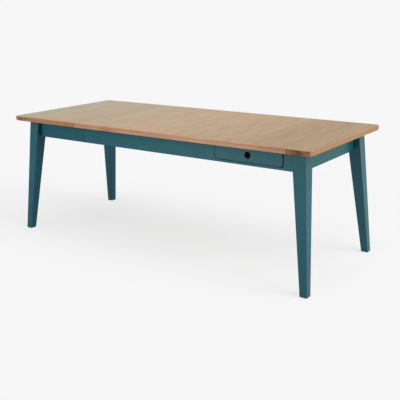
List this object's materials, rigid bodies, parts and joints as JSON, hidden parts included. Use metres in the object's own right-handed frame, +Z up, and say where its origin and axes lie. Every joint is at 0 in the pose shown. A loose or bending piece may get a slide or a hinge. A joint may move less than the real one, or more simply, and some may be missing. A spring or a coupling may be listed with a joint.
{
  "type": "extending dining table",
  "caption": "Long oak-topped dining table on a teal painted base with splayed legs; the left end slides out on rails with a stored leaf, and a finger-hole drawer opens at the front.",
  "frame": {"origin": "on the floor under the middle of the closed table", "axes": "+X along the length, away from the sliding end; -Y is the front with the drawer; +Z up"},
  "size_m": [2.1, 0.88, 0.76],
  "materials": {
    "oak_panel": "matt oiled oak, grain across the table",
    "oak_lipping": "matt oiled oak strip, grain along the edge",
    "oak_end_board": "matt oiled oak, end grain on the front and back",
    "teal_paint": "satin dark teal paint on wood",
    "beech": "plain planed beech",
    "drawer_board": "clear-finished pale board",
    "steel": "zinc-plated steel",
    "brass": "plain brass",
    "glide_plastic": "black plastic glide"
  },
  "bodies": {
    "fixed_frame": {"main_top_panel": "oak_panel", "main_front_lipping": "oak_lipping", "main_back_lipping": "oak_lipping", "right_end_board": "oak_end_board", "right_board_tongue": "beech", "right_front_leg": "teal_paint", "right_back_leg": "teal_paint", "front_apron": "teal_paint", "back_apron": "teal_paint", "right_end_apron": "teal_paint", "right_front_corner_plate": "steel", "right_back_corner_plate": "steel", "right_leg_bolts": "steel", "right_foot_glides": "glide_plastic", "front_outer_rail": "beech", "back_outer_rail": "beech", "middle_bearer": "beech", "open_end_stretcher": "beech", "rail_stop_blocks": "beech", "left_drawer_runner": "beech", "right_drawer_runner": "beech", "drawer_kickers": "beech", "drawer_stop": "beech", "seam_dowels": "beech", "seam_magnets": "steel", "main_top_brackets": "steel", "main_top_screws": "steel"},
    "sliding_end": {"left_top_panel": "oak_panel", "left_front_lipping": "oak_lipping", "left_back_lipping": "oak_lipping", "left_end_board": "oak_end_board", "left_board_tongue": "beech", "left_front_leg": "teal_paint", "left_back_leg": "teal_paint", "left_front_apron": "teal_paint", "left_back_apron": "teal_paint", "left_end_apron": "teal_paint", "left_front_corner_plate": "steel", "left_back_corner_plate": "steel", "left_leg_bolts": "steel", "left_foot_glides": "glide_plastic", "front_inner_rail": "beech", "back_inner_rail": "beech", "rail_packers": "beech", "left_bearer": "beech", "rail_stop_pins": "steel", "leaf_carriers": "beech", "lower_leaf": "oak_panel", "upper_leaf": "oak_panel", "leaf_hinges": "brass", "leaf_hinge_pins": "brass", "magnet_strikes": "steel", "left_top_brackets": "steel", "left_top_screws": "steel"},
    "drawer": {"drawer_front": "teal_paint", "drawer_left_side": "drawer_board", "drawer_right_side": "drawer_board", "drawer_back": "drawer_board", "drawer_bottom": "drawer_board"}
  },
  "joints": [
    {"name": "end_slide", "type": "slide", "parent": "fixed_frame", "child": "sliding_end", "axis": [-1, 0, 0], "range_m": [0, 0.42]},
    {"name": "drawer_slide", "type": "slide", "parent": "fixed_frame", "child": "drawer", "axis": [0, -1, 0], "range_m": [0, 0.28]}
  ]
}
